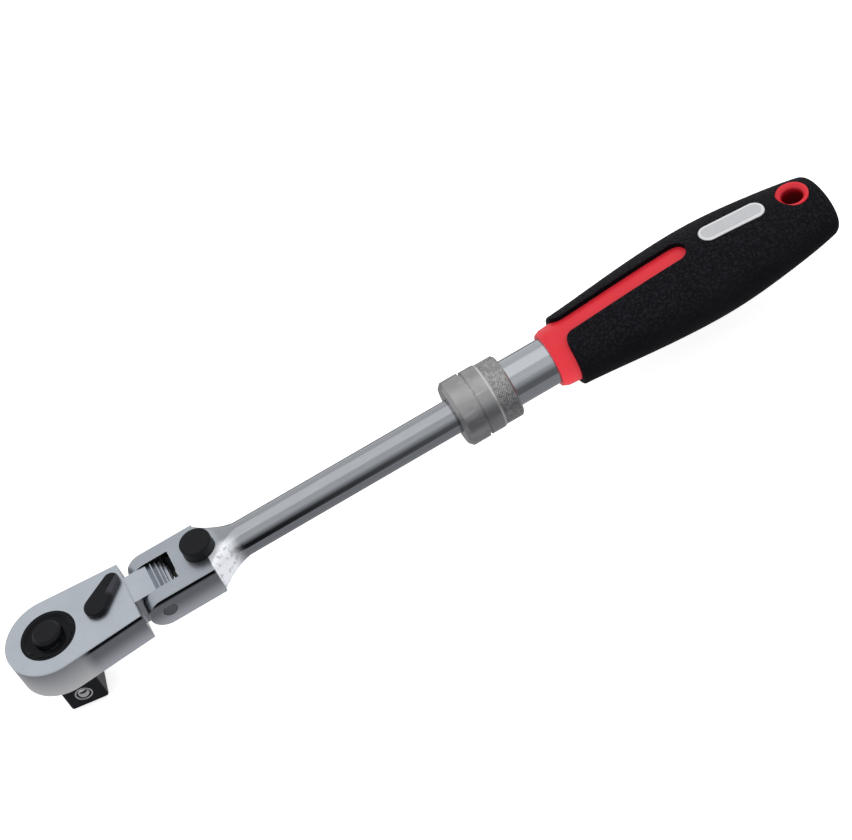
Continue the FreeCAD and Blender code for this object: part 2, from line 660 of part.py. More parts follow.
def yoke_wells(body):
    """The slot, the hinge pin's bore and the wells of the head lock."""
    slot = sketch(body, "XY_Plane")
    rectangle(slot, f"ear_x - yoke_half_height - {OVERSHOOT}", "slot_end", "-slot_half", "slot_half")
    extrude(body, slot, f"2 * yoke_half_height + {OVERSHOOT}", cut=True, both=True)
    bore = circle(sketch(body, "XZ_Plane", across="pin_x"), "pin_r")
    extrude(body, bore, f"2 * yoke_half_width + {OVERSHOOT}", cut=True, both=True)
    top = f"yoke_half_height + {OVERSHOOT}"
    knob = circle(sketch(body, "XY_Plane", across="knob_x", out=top), "knob_well_r")
    extrude(body, knob, f"{top} - knob_well_bottom", cut=True)
    stem = circle(sketch(body, "XY_Plane", across="knob_x", out="knob_well_bottom"), "stem_well_r")
    extrude(body, stem, "knob_well_bottom - stem_well_bottom", cut=True)
    well = circle(sketch(body, "YZ_Plane", out="slot_end"), "plunger_r + plunger_gap")
    extrude(body, well, "plunger_well_end - slot_end", cut=True, flip=True)


def make_yoke_bar():
    body = new_body()
    yoke_and_neck(body)
    turn(body, polygon(sketch(body, "XZ_Plane"), bar_profile()), "H")
    yoke_wells(body)
    hole = circle(sketch(body, "YZ_Plane", out="stop_screw_start"), "stop_screw_r")
    extrude(body, hole, "bar_end - stop_screw_start", cut=True, flip=True)
    node(body, "yoke_bar")


def make_hinge_pin():
    body = new_body()
    made = circle(sketch(body, "XZ_Plane", across="pin_x"), "pin_r")
    extrude(body, made, "2 * pin_half", both=True)
    half = value("pin_half")
    dress(body, "Chamfer", "pin_bevel", lambda e: flat_at(e, "Y", half) or flat_at(e, "Y", -half))
    node(body, "hinge_pin")


def make_bar_stop():
    turned(
        "bar_stop_ring",
        [("bar_step", "bar_step_r"), ("bar_end", "bar_step_r"), ("bar_end", "stop_ring_r"),
         ("bar_step", "stop_ring_r")],
    )
    turned(
        "bar_stop_screw",
        [("stop_screw_start", "0"), ("stop_head_end", "0"), ("stop_head_end", "stop_head_r"),
         ("bar_end", "stop_head_r"), ("bar_end", "stop_screw_r"), ("stop_screw_start", "stop_screw_r")],
    )


# ---- head lock ----


def cam_corners(gap, low, high):
    """The slanted cam's outline in the XZ plane between two heights, about the button's axis."""
    half = f"(cam_half_x + {gap})"
    return [
        (f"cam_slope * ({low}) - {half}", low), (f"cam_slope * ({low}) + {half}", low),
        (f"cam_slope * ({high}) + {half}", high), (f"cam_slope * ({high}) - {half}", high),
    ]


def make_lock_button():
    body = new_body()
    made = circle(sketch(body, "XY_Plane", across="knob_x", out="knob_under"), "knob_r")
    extrude(body, made, "knob_top - knob_under")
    top = value("knob_top")
    dress(body, "Fillet", "knob_edge", lambda e: flat_at(e, "Z", top))
    cam = sketch(body, "XZ_Plane", across="knob_x")
    polygon(cam, cam_corners("0", "cam_bottom", "knob_under"))
    extrude(body, cam, "2 * cam_half_y", both=True)
    node(body, "lock_button")


def make_lock_plunger():
    """A round plunger with a wedge nose, slotted for the button's slanted cam."""
    body = new_body()
    shoulder = "plunger_nose + plunger_nose_long"
    made = circle(sketch(body, "YZ_Plane", out=shoulder), "plunger_r")
    extrude(body, made, f"plunger_end - ({shoulder})")
    nose = sketch(body, "XZ_Plane")
    buried = f"{shoulder} + cam_half_x / 2"
    wide = "plunger_nose_half + plunger_nose_long * plunger_nose_slope"
    polygon(nose, [("plunger_nose", "-plunger_nose_half"), (buried, f"-({wide})"),
                   (buried, wide), ("plunger_nose", "plunger_nose_half")])
    extrude(body, nose, "plunger_nose_wide", both=True)
    cam = sketch(body, "XZ_Plane", across="knob_x")
    reach = f"(plunger_r + {OVERSHOOT})"
    polygon(cam, cam_corners("cam_gap", f"-{reach}", reach))
    extrude(body, cam, "2 * (cam_half_y + cam_gap)", cut=True, both=True)
    node(body, "lock_plunger")


def make_lock_spring():
    start, finish = V(value("plunger_end"), 0, 0), V(value("plunger_well_end"), 0, 0)
    coil("lock_spring", "lock_spring_mean_r", "lock_wire_r", "lock_turns", start, finish)


# ---- ball lock and tube ----


def make_outer_tube():
    body = new_body()
    wall = sketch(body, "XZ_Plane")
    turn(body, rectangle(wall, "tube_front", "tube_back", "tube_inner_r", "tube_outer_r"), "H")
    cross_hole(body)
    node(body, "outer_tube")


def cross_hole(body):
    """The hole for the pin that ties the plug, the tube and the handle's core together."""
    hole = circle(sketch(body, "XZ_Plane", across="tube_pin_x"), "tube_pin_r")
    extrude(body, hole, "2 * tube_pin_half", cut=True, both=True)


def make_lock_sleeve():
    """The nose of the tube: it guides the bar and holds the two lock balls."""
    body = new_body()
    profile = [
        ("sleeve_front", "sleeve_bore_r"), ("sleeve_back", "sleeve_bore_r"),
        ("sleeve_back", "tube_inner_r"), ("tube_front", "tube_inner_r"), ("tube_front", "tube_outer_r"),
        ("sleeve_front + sleeve_bevel", "tube_outer_r"),
        ("sleeve_front", "tube_outer_r - sleeve_bevel"),
    ]
    turn(body, polygon(sketch(body, "XZ_Plane"), profile), "H")
    holes = circle(sketch(body, "XZ_Plane", across="lock_first"), "lock_ball_hole_r")
    extrude(body, holes, f"2 * tube_outer_r + {OVERSHOOT}", cut=True, both=True)
    node(body, "lock_sleeve")


def make_lock_collar():
    """The sliding collar: three outer bands, and a ramp inside that presses the balls in."""
    turned(
        "lock_collar",
        [
            ("collar_front", "collar_lip_r"), ("collar_lip_end", "collar_lip_r"),
            ("collar_lip_end", "collar_bore_r"), ("release_groove_start", "collar_bore_r"),
            ("release_groove_start", "release_groove_r"), ("lock_first", "release_groove_r"),
            ("ramp_foot", "ramp_foot_r"), ("spring_room_start", "ramp_foot_r"),
            ("spring_room_start", "spring_room_r"), ("collar_back", "spring_room_r"),
            ("collar_back", "band_c_r - collar_bevel"), ("collar_back - collar_bevel", "band_c_r"),
            ("band_c_start", "band_c_r"), ("band_b_end", "band_b_r"), ("band_b_start", "band_b_r"),
            ("band_b_start", "band_gap_r"), ("band_a_end", "band_gap_r"), ("band_a_end", "band_a_r"),
            ("collar_front + collar_front_bevel", "band_a_r"),
            ("collar_front", "band_a_r - collar_front_bevel"),
        ],
    )


def ring_about_bar(name, front, back, inner_r, outer_r):
    body = new_body()
    turn(body, rectangle(sketch(body, "XZ_Plane"), front, back, inner_r, outer_r), "H")
    return node(body, name)


def make_ball_lock():
    make_lock_sleeve()
    make_lock_collar()
    ring_about_bar("collar_end_ring", "end_ring_front", "collar_back", "collar_bore_r", "spring_room_r")
    ring_about_bar("spring_clip", "clip_front", "clip_back", "tube_outer_r", "clip_r")
    start, finish = V(value("spring_room_start"), 0, 0), V(value("clip_front"), 0, 0)
    coil("collar_spring", "collar_spring_mean_r", "collar_wire_r", "collar_turns", start, finish)
    for name, side in (("lock_ball_near", -1), ("lock_ball_far", 1)):
        place = V(value("lock_first"), side * value("lock_ball_place"), 0)
        sphere(name, "lock_ball_r", place)


def make_tube_plug():
    body = new_body()
    made = circle(sketch(body, "YZ_Plane", out="plug_front"), "tube_inner_r")
    extrude(body, made, "tube_back - plug_front")
    cross_hole(body)
    node(body, "tube_plug")
    pin = new_body()
    made = circle(sketch(pin, "XZ_Plane", across="tube_pin_x"), "tube_pin_r")
    extrude(pin, made, "2 * tube_pin_half", both=True)
    node(pin, "tube_pin")
    bumper = new_body()
    made = circle(sketch(bumper, "YZ_Plane", out="bumper_front"), "tube_inner_r - 0.1")
    extrude(bumper, made, "plug_front - bumper_front")
    node(bumper, "end_bumper")


# ---- handle ----


def oval_loft(sections):
    """A smooth solid through oval sections across the bar: (place, half width, half height) each."""
    ovals = []
    upright = FreeCAD.Rotation(V(0, 1, 0), V(0, 0, 1), V(1, 0, 0))
    for place, half_wide, half_tall in sections:
        oval = DOC.addObject("Part::Ellipse", "Ellipse")
        oval.setExpression("MajorRadius", cell(half_wide))
        oval.setExpression("MinorRadius", cell(half_tall))
        oval.Placement.Rotation = upright
        oval.setExpression("Placement.Base.x", cell(place))
        ovals.append(oval)
    loft = DOC.addObject("Part::Loft", "Loft")
    loft.Sections = ovals
    loft.Solid = True
    DOC.recompute()
    return loft


def grip_sections(inset="0"):
    numbers = range(len(GRIP_STATIONS))
    return [(f"oval{n}_place", f"oval{n}_wide - {inset}", f"oval{n}_tall - {inset}") for n in numbers]


def cut_from(base, *tools):
    """Each tool cut from the base in turn."""
    for tool in tools:
        made = DOC.addObject("Part::Cut", "Cut")
        made.Base = base
        made.Tool = tool
        DOC.recompute()
        if made.Shape.Volume >= base.Shape.Volume:
            raise ValueError(f"{tool.Label} cut nothing")
        base = made
    return base


def rounded_end(base, radius, place):
    """Fillet the edge that lies in the plane across the bar at the given place."""
    where = value(place)
    edges = enumerate(base.Shape.Edges, start=1)
    numbers = [i for i, edge in edges if flat_at(edge, "X", where)]
    made = DOC.addObject("Part::Fillet", "Fillet")
    made.Base = base
    made.Edges = [(i, value(radius), value(radius)) for i in numbers]
    DOC.recompute()
    return made


def core_blank():
    """The red core before it is bored: an oval body that starts as a round, bevelled collar."""
    bevel = new_body()
    profile = [("core_front", "0"), ("core_front", "core_front_r"), ("core_ring_place", "core_ring_r"),
               ("core_ring_place", "0")]
    turn(bevel, polygon(sketch(bevel, "XZ_Plane"), profile), "H")
    sections = grip_sections("core_inset")
    sections[0] = ("core_ring_place", "core_ring_r", "core_ring_r")
    sections[-1] = ("core_back",) + sections[-1][1:]
    blank = DOC.addObject("Part::Fuse", "Fuse")
    blank.Base = oval_loft(sections)
    blank.Tool = bevel
    DOC.recompute()
    return blank


def stadium(made, half_long, half_wide, grow="0"):
    """One closed outline of two arcs and two lines, grown outward by a margin."""
    reach = value(f"{half_long} - {half_wide}")
    radius = value(f"{half_wide} + {grow}")
    right = Part.ArcOfCircle(Part.Circle(V(reach, 0, 0), V(0, 0, 1), radius), -math.pi / 2, math.pi / 2)
    end = Part.Circle(V(-reach, 0, 0), V(0, 0, 1), radius)
    left = Part.ArcOfCircle(end, math.pi / 2, 3 * math.pi / 2)
    made.addGeometry(right)
    made.addGeometry(Part.LineSegment(right.EndPoint, left.StartPoint))
    made.addGeometry(left)
    made.addGeometry(Part.LineSegment(left.EndPoint, right.StartPoint))
    return made


def plate_placement():
    tilt = FreeCAD.Rotation(V(0, 1, 0), value("plate_tilt"))
    return FreeCAD.Placement(V(value("plate_middle"), 0, value("plate_top")), tilt)


def make_name_plate():
    """A blank stadium-shaped plate, set in the grip and tilted with its surface."""
    body = new_body()
    made = stadium(sketch(body, "XY_Plane"), "plate_half_long", "plate_half_wide")
    extrude(body, made, "plate_thick", flip=True)
    dress(body, "Chamfer", "plate_bevel", lambda e: flat_at(e, "Z", 0.0))
    body.Placement = plate_placement()
    node(body, "name_plate")


def stripe_window(made):
    """The window over the red stripe: flared where it leaves the grip's front, round at its far end."""
    front, flare = value("grip_front"), value("stripe_flare")
    half = value("stripe_half")
    wide = half + flare
    far_end = Part.Circle(V(value("stripe_end") - half, 0, 0), V(0, 0, 1), half)
    end = Part.ArcOfCircle(far_end, -math.pi / 2, math.pi / 2)
    left = Part.Circle(V(front + flare, wide, 0), V(0, 0, 1), flare)
    left = Part.ArcOfCircle(left, math.pi, 3 * math.pi / 2)
    right = Part.Circle(V(front + flare, -wide, 0), V(0, 0, 1), flare)
    right = Part.ArcOfCircle(right, math.pi / 2, math.pi)
    for arc in (end, left, right):
        made.addGeometry(arc)
    mouth = [left.StartPoint, V(front - OVERSHOOT, wide, 0), V(front - OVERSHOOT, -wide, 0),
             right.EndPoint]
    pairs = list(zip(mouth, mouth[1:]))
    pairs += [(end.EndPoint, left.EndPoint), (right.StartPoint, end.StartPoint)]
    for start, finish in pairs:
        made.addGeometry(Part.LineSegment(start, finish))
    return made


def cutter(role, draw, length, both=False, **place):
    """A body made only to be cut from others: one sketch, padded."""
    body = new_body()
    extrude(body, draw(sketch(body, role, **place)), length, both=both)
    return body


def plate_pocket():
    body = new_body()
    outline = stadium(sketch(body, "XY_Plane"), "plate_half_long", "plate_half_wide", "plate_gap")
    extrude(body, outline, "2 * plate_thick", both=True)
    body.Placement = plate_placement()
    return body


def make_handle():
    """The black grip moulded over the red core, and the bores that both share."""
    blank = core_blank()
    window = cutter("XY_Plane", stripe_window, "2 * head_round_r", out="window_floor")
    eye = cutter("XY_Plane", lambda made: circle(made, "eyelet_r"), "4 * eyelet_half", both=True,
                 across="eyelet_x")
    shell = rounded_end(oval_loft(grip_sections()), "grip_end_round", "grip_back")
    shell = rounded_end(shell, "grip_front_round", "grip_front")
    node(cut_from(shell, window, plate_pocket(), eye, blank), "handle_grip")
    bore = cutter("YZ_Plane", lambda made: circle(made, "tube_outer_r"),
                  f"tube_back - core_front + {OVERSHOOT}", out=f"core_front - {OVERSHOOT}")
    pin = cutter("XZ_Plane", lambda made: circle(made, "tube_pin_r"), "2 * tube_pin_half", both=True,
                 across="tube_pin_x")
    node(cut_from(blank, bore, pin, eye), "handle_core")


def make_hanging_eyelet():
    """A plain bush through the handle's end, its bore flared at both faces."""
    inner, bevel = "eyelet_bore_r", "eyelet_bevel"
    turned(
        "hanging_eyelet",
        [
            (inner, f"{bevel} - eyelet_half"), (f"{inner} + {bevel}", "-eyelet_half"),
            ("eyelet_r", "-eyelet_half"), ("eyelet_r", "eyelet_half"),
            (f"{inner} + {bevel}", "eyelet_half"), (inner, f"eyelet_half - {bevel}"),
        ],
        axis="V",
        across="eyelet_x",
    )


# ---- whole tool ----


def make_everything():
    make_head_housing()
    make_cover_plate()
    make_cover_screws()
    make_hub_seal()
    make_reversing_lever()
    make_lever_detent()
    make_reversing_pawl()
    make_drive_gear()
    make_release()
    make_yoke_bar()
    make_hinge_pin()
    make_bar_stop()
    make_lock_button()
    make_lock_plunger()
    make_lock_spring()
    make_outer_tube()
    make_ball_lock()
    make_tube_plug()
    make_handle()
    make_name_plate()
    make_hanging_eyelet()


def check_document():
    for thing in DOC.Objects:
        if {"Invalid", "Error"} & set(thing.State):
            raise ValueError(f"{thing.Name} ({thing.Label}) failed: {thing.State}")
    for thing in NODES:
        if thing.Shape.isNull() or not thing.Shape.isValid():
            raise ValueError(f"{thing.Label} has no valid shape")


def write_parts():
    os.makedirs("parts", exist_ok=True)
    for thing in NODES:
        thing.Shape.exportStep(os.path.join("parts", thing.Label + ".step"))
        print(f"{thing.Label}: {thing.Shape.Volume:.1f} mm3, {len(thing.Shape.Solids)} solid(s)")


fill_sheet()
make_everything()
DOC.recompute()
check_document()
write_parts()
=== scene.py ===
"""Looks for the telescoping flex-head ratchet bar: materials, a few small visual pieces, studio and camera.

Every position is in metres in the CAD frame: origin on the drive's axis at the head's mid height,
+X towards the handle, +Z out of the lever side.
"""

import math

import bpy
from mathutils import Matrix, Vector


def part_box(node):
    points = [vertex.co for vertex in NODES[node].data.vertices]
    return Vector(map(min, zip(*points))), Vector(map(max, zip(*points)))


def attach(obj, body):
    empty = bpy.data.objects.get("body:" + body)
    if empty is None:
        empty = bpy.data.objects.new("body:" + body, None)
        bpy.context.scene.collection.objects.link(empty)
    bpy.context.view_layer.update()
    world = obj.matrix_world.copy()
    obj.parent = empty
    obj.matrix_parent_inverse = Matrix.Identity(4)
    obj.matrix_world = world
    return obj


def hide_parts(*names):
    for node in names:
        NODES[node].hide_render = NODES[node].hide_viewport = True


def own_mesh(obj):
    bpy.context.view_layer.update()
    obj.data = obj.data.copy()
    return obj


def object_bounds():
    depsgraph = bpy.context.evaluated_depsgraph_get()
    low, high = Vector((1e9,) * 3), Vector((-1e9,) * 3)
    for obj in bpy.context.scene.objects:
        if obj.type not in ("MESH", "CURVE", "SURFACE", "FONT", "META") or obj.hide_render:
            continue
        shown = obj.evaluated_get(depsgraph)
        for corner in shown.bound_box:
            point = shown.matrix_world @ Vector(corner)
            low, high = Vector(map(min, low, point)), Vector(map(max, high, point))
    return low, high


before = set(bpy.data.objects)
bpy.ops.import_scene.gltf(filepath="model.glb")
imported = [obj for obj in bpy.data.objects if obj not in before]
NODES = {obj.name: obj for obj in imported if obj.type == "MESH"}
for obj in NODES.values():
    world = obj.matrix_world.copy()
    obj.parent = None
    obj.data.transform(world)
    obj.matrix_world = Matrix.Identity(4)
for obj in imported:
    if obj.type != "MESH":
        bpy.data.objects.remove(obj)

CAD_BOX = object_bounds()
MM = 0.001

# ---- node helpers ----


class Paint:
    """One node material. Its methods add nodes and return the output that carries the result."""

    def __init__(self, name):
        self.material = bpy.data.materials.new(name)
        self.material.use_nodes = True
        self.tree = self.material.node_tree
        self.shader = self.tree.nodes["Principled BSDF"]
        coords = self.tree.nodes.new("ShaderNodeTexCoord")
        self.place = coords.outputs["Object"]
        self.x, self.y, self.z = self.add("SeparateXYZ", Vector=self.place).outputs
        self.facing = self.add("SeparateXYZ", Vector=coords.outputs["Normal"]).outputs
        self.relief = None

    def add(self, kind, settings=None, **inputs):
        made = self.tree.nodes.new("ShaderNode" + kind)
        for key, value in (settings or {}).items():
            setattr(made, key, value)
        for key, value in inputs.items():
            self.feed(made.inputs[key.replace("_", " ")], value)
        return made

    def feed(self, socket, value):
        if isinstance(value, bpy.types.NodeSocket):
            self.tree.links.new(value, socket)
        elif isinstance(value, tuple) and len(value) == 3 and socket.type == "RGBA":
            socket.default_value = (*value, 1.0)
        else:
            socket.default_value = value

    def math(self, operation, first, second=0.0, third=0.0, clamp=False):
        made = self.add("Math", {"operation": operation, "use_clamp": clamp})
        for socket, value in zip(made.inputs, (first, second, third)):
            self.feed(socket, value)
        return made.outputs[0]

    def absolute(self, value):
        return self.math("ABSOLUTE", value)

    def product(self, value, *others):
        for other in others:
            value = self.math("MULTIPLY", value, other)
        return value

    def spread(self, value, low, high, to_low=0.0, to_high=1.0, smooth=True):
        """The value moved from one range to another, held at both ends."""
        kind = "SMOOTHSTEP" if smooth else "LINEAR"
        made = self.add("MapRange", {"interpolation_type": kind})
        for socket, number in zip(made.inputs, (value, low, high, to_low, to_high)):
            self.feed(socket, number)
        return made.outputs[0]

    def between(self, value, rise, fall):
        """1 between two soft limits, each a pair: where it is 0 and where it is 1."""
        return self.product(self.spread(value, *rise), self.spread(value, *fall))

    def noise(self, grain, detail=3.0, stretch=(1, 1, 1), rough=0.5):
        """Noise whose grain is a size in metres, stretched by a share along each axis."""
        place = self.grid(grain, stretch)
        return self.add("TexNoise", Vector=place, Scale=1.0, Detail=detail, Roughness=rough).outputs["Fac"]

    def pebbles(self, grain, stretch):
        place = self.grid(grain, stretch)
        return self.add("TexVoronoi", {"feature": "SMOOTH_F1"}, Vector=place, Scale=1.0).outputs["Distance"]

    def grid(self, grain, stretch):
        scale = tuple(1 / (grain * share) for share in stretch)
        return self.add("Mapping", Vector=self.place, Scale=scale).outputs[0]

    def mix(self, share, first, second):
        made = self.add("Mix", {"data_type": "RGBA"})
        for socket, value in ((made.inputs[0], share), (made.inputs[6], first), (made.inputs[7], second)):
            self.feed(socket, value)
        return made.outputs[2]

    def blend(self, share, first, second):
        """A number between two others."""
        change = self.math("SUBTRACT", second, first)
        return self.math("MULTIPLY_ADD", share, change, first)

    def emboss(self, height, depth, strength):
        """Relief on top of what is there already; depth is in metres."""
        made = self.add("Bump", Strength=strength, Distance=depth, Height=height)
        if self.relief is not None:
            self.feed(made.inputs["Normal"], self.relief)
        self.relief = made.outputs["Normal"]

    def edge_highlight_and_wear(self, strength=1.0):
        """High along sharp edges: a painted highlight there, and wear where finish rubs off."""
        rounded = self.add("Bevel", {"samples": 4}, Radius=0.2 * MM).outputs[0]
        plain = self.add("NewGeometry").outputs["Normal"]
        meet = self.add("VectorMath", {"operation": "DOT_PRODUCT"})
        self.feed(meet.inputs[0], rounded)
        self.feed(meet.inputs[1], plain)
        edge = self.spread(self.math("SUBTRACT", 1.0, meet.outputs["Value"]), 0.03, 0.2)
        return self.product(edge, strength)

    def shine(self, shade, strength):
        """Give out light instead of reflecting it."""
        emit = self.add("Emission", Color=shade, Strength=strength)
        self.tree.links.new(emit.outputs[0], self.tree.nodes["Material Output"].inputs[0])

    def done(self, **inputs):
        for key, value in inputs.items():
            self.feed(self.shader.inputs[key.replace("_", " ")], value)
        if self.relief is not None:
            self.feed(self.shader.inputs["Normal"], self.relief)
        return self.material


def wear(material, *names):
    """Give the material to the named CAD nodes."""
    for name in names:
        if not NODES[name].material_slots:
            NODES[name].data.materials.append(material)
        for slot in NODES[name].material_slots:
            slot.material = material


# ---- metals ----

SATIN = (0.42, 0.455, 0.50), (0.50, 0.54, 0.59)


def painted_side_reflection(paint, shade, half_height, start, end):
    """Painted reflection on the side faces: they pale towards the bottom, and the flat ones have a painted
    black stripe under the top edge.
    """
    side = paint.spread(paint.absolute(paint.facing[2]), 0.6, 0.4)
    side = paint.product(side, paint.spread(paint.x, end + 0.2 * MM, end))
    depth = paint.math("SUBTRACT", half_height, paint.z)
    fall = paint.spread(depth, 1 * MM, 2 * half_height, smooth=False)
    # painted reflection: side faces go from grey at the top to white at the bottom
    shade = paint.mix(side, shade, paint.mix(fall, (0.42, 0.44, 0.47), (1, 1, 1)))
    long_side = paint.spread(paint.absolute(paint.facing[1]), 0.80, 0.95)
    long_side = paint.product(long_side, side, paint.spread(paint.x, start - 2.5 * MM, start + 2 * MM))
    # painted reflection on the long flat sides: a grey that pales downwards, with a painted black stripe
    # under the top edge
    fall = paint.spread(depth, 4 * MM, 2 * half_height)
    grey = paint.mix(fall, (0.25, 0.26, 0.29), (0.74, 0.76, 0.82))
    painted_line = paint.spread(depth, 2.3 * MM, 1.3 * MM)
    return paint.mix(long_side, shade, paint.mix(painted_line, grey, (0.004, 0.004, 0.005)))


def painted_recess_shade(paint, shade, recess):
    """Painted shade, nearly black, in a recess: (low, high) along X, and away from the middle along Y and
    Z.
    """
    inside = 1.0
    for place, (low, high) in zip((paint.x, paint.absolute(paint.y), paint.absolute(paint.z)), recess):
        above = paint.math("GREATER_THAN", place, low)
        inside = paint.product(inside, paint.product(above, paint.math("LESS_THAN", place, high)))
    # painted shade: the recess is coloured nearly black
    return paint.mix(inside, shade, (0.012, 0.012, 0.013))


def painted_neck_highlight(paint, start):
    """Where the painted highlight on the near flank of the neck is, and its pale, mottled colour."""
    there = paint.between(paint.x, (start, start + 0.4 * MM), (start + 11.6 * MM, start + 5.6 * MM))
    there = paint.product(there, paint.spread(paint.y, -1 * MM, -4 * MM))
    highlight_mottle = paint.spread(paint.noise(1.6 * MM, 3.0), 0.52, 0.68)
    # painted highlight, pale and mottled
    return there, paint.mix(highlight_mottle, (0.88, 0.9, 0.95), (0.55, 0.57, 0.61))


def forged(name, half_height, side, neck=None, recess=None, dull=1.0):
    """Plated forged steel: satin on its flat top and bottom, polished on its sides and past the neck.

    side is where its long sides start and end. neck is where its satin ends.
    """
    paint = Paint(name)
    flat = paint.spread(paint.absolute(paint.facing[2]), 0.5, 0.65)
    if neck:
        flat = paint.product(flat, paint.spread(paint.x, neck, neck - 2 * MM))
    grain = paint.noise(0.25 * MM, 4.0)
    cloud = paint.noise(9 * MM, 2.0)
    streak = paint.noise(0.5 * MM, 2.0, (12, 1, 1))
    satin = paint.mix(cloud, *(tuple(part * dull for part in shade) for shade in SATIN))
    bright = paint.mix(streak, (0.30, 0.313, 0.335), (0.36, 0.378, 0.405))
    # lighter edges: painted highlight and wear
    shade = paint.mix(paint.edge_highlight_and_wear(0.5), paint.mix(flat, bright, satin), (0.55, 0.57, 0.6))
    # painted reflection on the sides, with a painted black stripe under their top edge
    shade = painted_side_reflection(paint, shade, half_height, *side)
    if recess:
        # painted shade in the fork slot
        shade = painted_recess_shade(paint, shade, recess)
    metal = 1.0
    satin_rough = paint.spread(grain, 0.3, 0.7, 0.27, 0.37)
    polished_rough = paint.spread(cloud, 0.3, 0.7, 0.07, 0.13)
    rough = paint.blend(flat, polished_rough, satin_rough)
    if neck:
        # painted highlight on the near flank of the neck
        there, pale = painted_neck_highlight(paint, side[1])
        shade = paint.mix(there, shade, pale)
        rough = paint.blend(there, rough, 0.42)
        metal = paint.blend(there, metal, 0.35)
    paint.emboss(grain, 0.012 * MM, 0.5)
    return paint.done(Base_Color=shade, Metallic=metal, Roughness=rough)


def polished(name):
    """Bright chrome on a drawn tube, with fine lines along it."""
    paint = Paint(name)
    lines = paint.noise(0.35 * MM, 3.0, (60, 1, 1))
    cloud = paint.noise(6 * MM, 2.0)
    shade = paint.mix(lines, (0.37, 0.388, 0.415), (0.46, 0.478, 0.505))
    paint.emboss(lines, 0.004 * MM, 0.4)
    return paint.done(Base_Color=shade, Metallic=1.0, Roughness=paint.spread(cloud, 0.3, 0.7, 0.05, 0.1))


def knurl(paint):
    """Crossed ridges round the bar, 68 of them each way and 0.9 mm apart along it."""
    around = paint.math("ARCTAN2", paint.y, paint.z)
    along = paint.math("MULTIPLY", paint.x, 1 / (0.9 * MM))
    wave = paint.math("MULTIPLY", around, 68 / math.tau)
    left = paint.math("PINGPONG", paint.math("ADD", wave, along), 0.5)
    right = paint.math("PINGPONG", paint.math("SUBTRACT", wave, along), 0.5)
    return paint.product(left, right, 4.0)


def turned_steel(name, groove, back):
    """Satin collar: fine turning rings round it, a painted highlight along its groove, and a knurled band
    from that groove to its back.
    """
    paint = Paint(name)
    rings = paint.noise(0.12 * MM, 3.0, (1, 400, 400))
    cloud = paint.noise(3.5 * MM, 3.0)
    speck = paint.noise(0.5 * MM, 3.0)
    band = paint.between(
        paint.x, (groove + 0.2 * MM, groove + 0.7 * MM), (back - 0.5 * MM, back - 0.9 * MM),
    )
    painted_line = paint.between(
        paint.x, (groove - 0.45 * MM, groove - 0.3 * MM), (groove + 0.4 * MM, groove + 0.25 * MM),
    )
    shade = paint.mix(cloud, (0.27, 0.27, 0.275), (0.37, 0.37, 0.375))
    streak = paint.spread(paint.noise(1.5 * MM, 2.0, (5, 1, 1)), 0.52, 0.66)
    shade = paint.mix(paint.product(streak, 0.35), shade, (0.5, 0.5, 0.505))
    mottle = paint.spread(paint.noise(1.0 * MM, 3.0, rough=0.7), 0.4, 0.6)
    cut = paint.mix(mottle, (0.2, 0.2, 0.202), (0.4, 0.4, 0.4))
    shade = paint.mix(paint.product(band, 0.7), shade, cut)
    # lighter edges: painted highlight and wear
    shade = paint.mix(paint.edge_highlight_and_wear(), shade, (0.5, 0.5, 0.5))
    # painted highlight: a pale stripe along the groove
    shade = paint.mix(painted_line, shade, (0.62, 0.62, 0.62))
    paint.emboss(rings, 0.01 * MM, 0.5)
    paint.emboss(paint.product(knurl(paint), band), 0.16 * MM, 0.9)
    paint.emboss(speck, 0.01 * MM, 0.5)
    return paint.done(Base_Color=shade, Metallic=1.0, Roughness=paint.spread(speck, 0.3, 0.7, 0.3, 0.42))


def plain_steel(name, shade_low, shade_high, rough_low, rough_high):
    """Machined, unplated steel with tool marks and a little staining."""
    paint = Paint(name)
    marks = paint.noise(0.2 * MM, 3.0)
    stain = paint.noise(4 * MM, 3.0)
    shade = paint.mix(stain, shade_low, shade_high)
    rough = paint.spread(marks, 0.3, 0.7, rough_low, rough_high)
    paint.emboss(marks, 0.008 * MM, 0.5)
    return paint.done(Base_Color=shade, Metallic=1.0, Roughness=rough)


def painted_lever_highlight(paint, pivot, angle):
    """1 along the painted highlight on the slanted side of the lever's thumb rest, for a lever that points
    this way from its pivot.
    """
    away = paint.math("SUBTRACT", paint.x, pivot)
    along = paint.math("MULTIPLY", away, math.cos(angle))
    along = paint.math("MULTIPLY_ADD", paint.y, math.sin(angle), along)
    aside = paint.math("MULTIPLY", away, math.sin(angle))
    aside = paint.math("MULTIPLY_ADD", paint.y, -math.cos(angle), aside)
    return paint.product(paint.spread(aside, 0.9 * MM, 1.2 * MM), paint.spread(along, 3.5 * MM, 5.5 * MM))


def black_steel(name, rough_low, rough_high, shine, highlight_ridge=None):
    """Blackened, oiled steel: nearly black, lighter along its edges with a painted highlight there and bare
    where they rub. highlight_ridge is a lever's (pivot, angle), for a painted highlight on its thumb rest.
    """
    paint = Paint(name)
    grain = paint.noise(0.3 * MM, 4.0)
    cloud = paint.noise(3 * MM, 3.0)
    shade = paint.mix(cloud, (0.004, 0.0045, 0.006), (0.009, 0.0095, 0.012))
    # lighter edges: painted highlight, and bare steel where they rub
    shade = paint.mix(paint.edge_highlight_and_wear(0.4), shade, (0.05, 0.05, 0.055))
    if highlight_ridge:
        # painted highlight along the lever's slanted side
        shade = paint.mix(painted_lever_highlight(paint, *highlight_ridge), shade, (0.045, 0.045, 0.055))
    rough = paint.spread(grain, 0.3, 0.7, rough_low, rough_high)
    paint.emboss(grain, 0.01 * MM, 0.5)
    return paint.done(Base_Color=shade, Metallic=0.0, Roughness=rough, Specular_IOR_Level=shine)


# ---- plastics and rubbers ----


